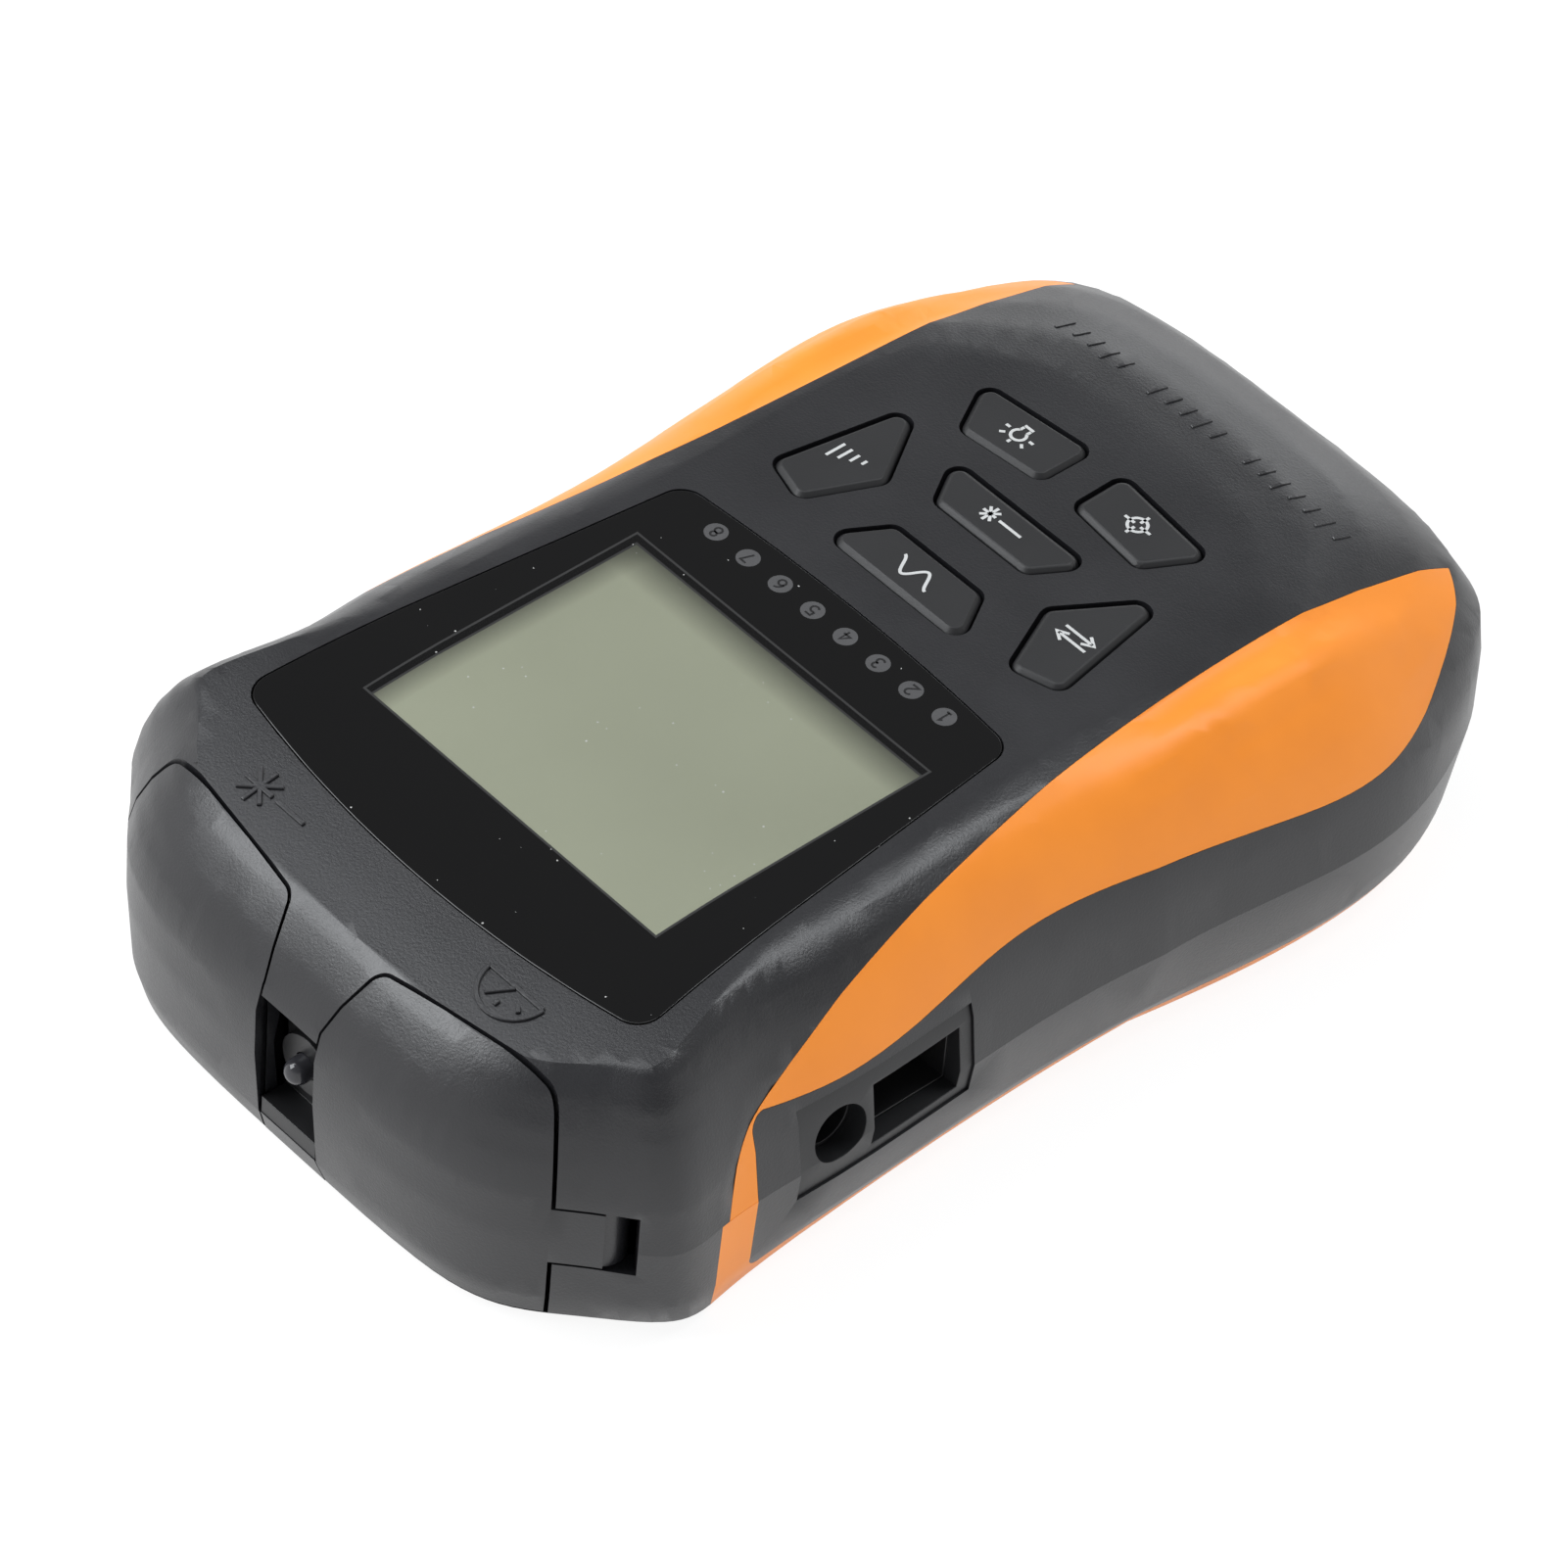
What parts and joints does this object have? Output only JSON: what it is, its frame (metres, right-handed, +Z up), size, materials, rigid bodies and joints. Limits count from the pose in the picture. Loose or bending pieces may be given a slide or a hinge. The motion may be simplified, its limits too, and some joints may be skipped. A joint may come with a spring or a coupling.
{
  "type": "optical power meter",
  "caption": "Handheld fibre power meter with a bevelled display window, a keypad, soft waisted side grips, covered optical ports, a torch and a network socket.",
  "frame": {"origin": "centre of the footprint, on the surface the meter lies on", "axes": "+Y along the meter towards its optical ports, +Z up out of the display, +X to the right as the display is read with the ports at the top"},
  "size_m": [0.0903, 0.1421, 0.0349],
  "materials": {
    "casing_black": "fine textured, satin",
    "grip_orange": "smooth satin overmould",
    "window_clear": "polished, smoked",
    "lcd_glass": "satin grey-green",
    "light_white": "translucent white",
    "frame_white": "plain",
    "board_green": "solder mask",
    "key_black": "matt",
    "mat_grey": "matt",
    "steel": "plated",
    "nickel": "nickel plated",
    "brass": "turned",
    "port_black": "plain",
    "panel_grey": "satin",
    "contact_gold": "gold flashed",
    "cell_sleeve": "printed sleeve left plain",
    "torch_clear": "smoked resin"
  },
  "bodies": {
    "casing": {"front_shell": "casing_black", "back_shell": "casing_black", "left_upper_grip": "grip_orange", "right_upper_grip": "grip_orange", "left_lower_grip": "grip_orange", "right_lower_grip": "grip_orange", "display_window": "window_clear", "lcd_panel": "lcd_glass", "backlight_panel": "light_white", "lcd_frame": "frame_white", "tester_lamps": "light_white", "light_guide": "light_white", "main_board": "board_green", "keypad_mat": "mat_grey", "case_screws": "steel", "cell_1": "cell_sleeve", "cell_2": "cell_sleeve", "cell_3": "cell_sleeve", "battery_springs": "steel", "battery_contacts": "steel", "end_plate": "port_black", "torch_bezel": "port_black", "torch_lamp": "torch_clear", "laser_adapter": "nickel", "meter_adapter": "nickel", "laser_module": "brass", "detector": "steel", "laser_hinge_pin": "steel", "meter_hinge_pin": "steel", "side_panel": "panel_grey", "network_socket": "port_black", "socket_contacts": "contact_gold", "power_jack": "port_black"},
    "meter_unit_key_body": {"meter_unit_key": "key_black"},
    "decibel_key_body": {"decibel_key": "key_black"},
    "lamp_key_body": {"lamp_key": "key_black"},
    "reference_key_body": {"reference_key": "key_black"},
    "wavelength_key_body": {"wavelength_key": "key_black"},
    "laser_key_body": {"laser_key": "key_black"},
    "door_body": {"battery_door": "casing_black"},
    "laser_cover_body": {"laser_port_cover": "casing_black"},
    "meter_cover_body": {"meter_port_cover": "casing_black"}
  },
  "joints": [
    {"name": "meter_unit_key_press", "type": "slide", "parent": "casing", "child": "meter_unit_key_body", "axis": [0, 0, -1], "range_m": [0, 0.0008], "stiffness_N_per_m": 400, "springref_m": -0.0008},
    {"name": "decibel_key_press", "type": "slide", "parent": "casing", "child": "decibel_key_body", "axis": [0, 0, -1], "range_m": [0, 0.0008], "stiffness_N_per_m": 400, "springref_m": -0.0008},
    {"name": "lamp_key_press", "type": "slide", "parent": "casing", "child": "lamp_key_body", "axis": [0, 0, -1], "range_m": [0, 0.0008], "stiffness_N_per_m": 400, "springref_m": -0.0008},
    {"name": "reference_key_press", "type": "slide", "parent": "casing", "child": "reference_key_body", "axis": [0, 0, -1], "range_m": [0, 0.0008], "stiffness_N_per_m": 400, "springref_m": -0.0008},
    {"name": "wavelength_key_press", "type": "slide", "parent": "casing", "child": "wavelength_key_body", "axis": [0, 0, -1], "range_m": [0, 0.0008], "stiffness_N_per_m": 400, "springref_m": -0.0008},
    {"name": "laser_key_press", "type": "slide", "parent": "casing", "child": "laser_key_body", "axis": [0, 0, -1], "range_m": [0, 0.0008], "stiffness_N_per_m": 400, "springref_m": -0.0008},
    {"name": "battery_door_slide", "type": "slide", "parent": "casing", "child": "door_body", "axis": [0, -1, 0], "range_m": [0, 0.008]},
    {"name": "laser_cover_hinge", "type": "hinge", "parent": "casing", "child": "laser_cover_body", "pos_m": [0.035, 0.0588, 0.01435], "axis": [0, 0, -1], "range_deg": [0, 90]},
    {"name": "meter_cover_hinge", "type": "hinge", "parent": "casing", "child": "meter_cover_body", "pos_m": [-0.035, 0.0588, 0.01435], "axis": [0, 0, 1], "range_deg": [0, 90]}
  ]
}
